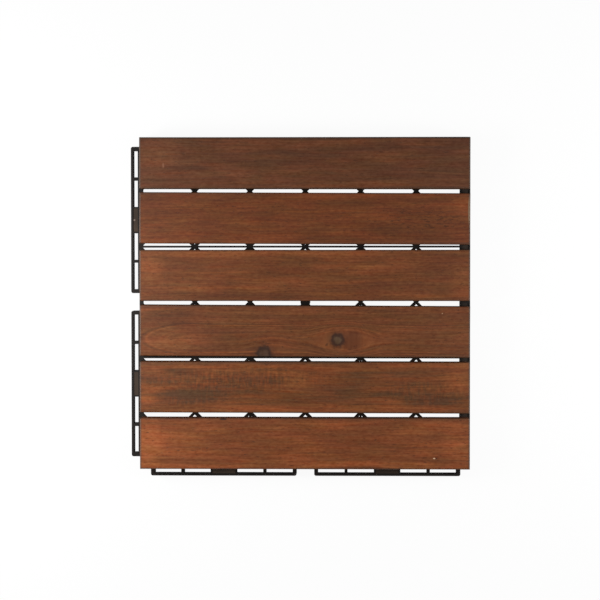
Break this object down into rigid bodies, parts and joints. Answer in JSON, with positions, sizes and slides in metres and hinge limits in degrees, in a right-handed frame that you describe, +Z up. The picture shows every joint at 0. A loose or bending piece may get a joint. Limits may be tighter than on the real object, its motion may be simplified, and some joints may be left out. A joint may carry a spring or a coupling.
{
  "type": "interlocking deck tile",
  "caption": "Square interlocking deck tile: hardwood slats screwed from below to a moulded plastic lattice base with clip-together loops and sockets.",
  "frame": {"origin": "middle of the tile's 300 mm module, on the ground under the base's middle post", "axes": "+X along the slats, away from the side with loops; +Y across the slats, away from the side with loops; +Z up"},
  "size_m": [0.3061, 0.3061, 0.024],
  "materials": {
    "base_plastic": "matte black moulded polypropylene",
    "slat_wood": "oiled reddish-brown acacia, planed, with eased edges",
    "screw_steel": "zinc plated"
  },
  "bodies": {
    "root": {"base_grid": "base_plastic", "slat_1": "slat_wood", "slat_2": "slat_wood", "slat_3": "slat_wood", "slat_4": "slat_wood", "slat_5": "slat_wood", "slat_6": "slat_wood", "slat_screws": "screw_steel"}
  },
  "joints": []
}
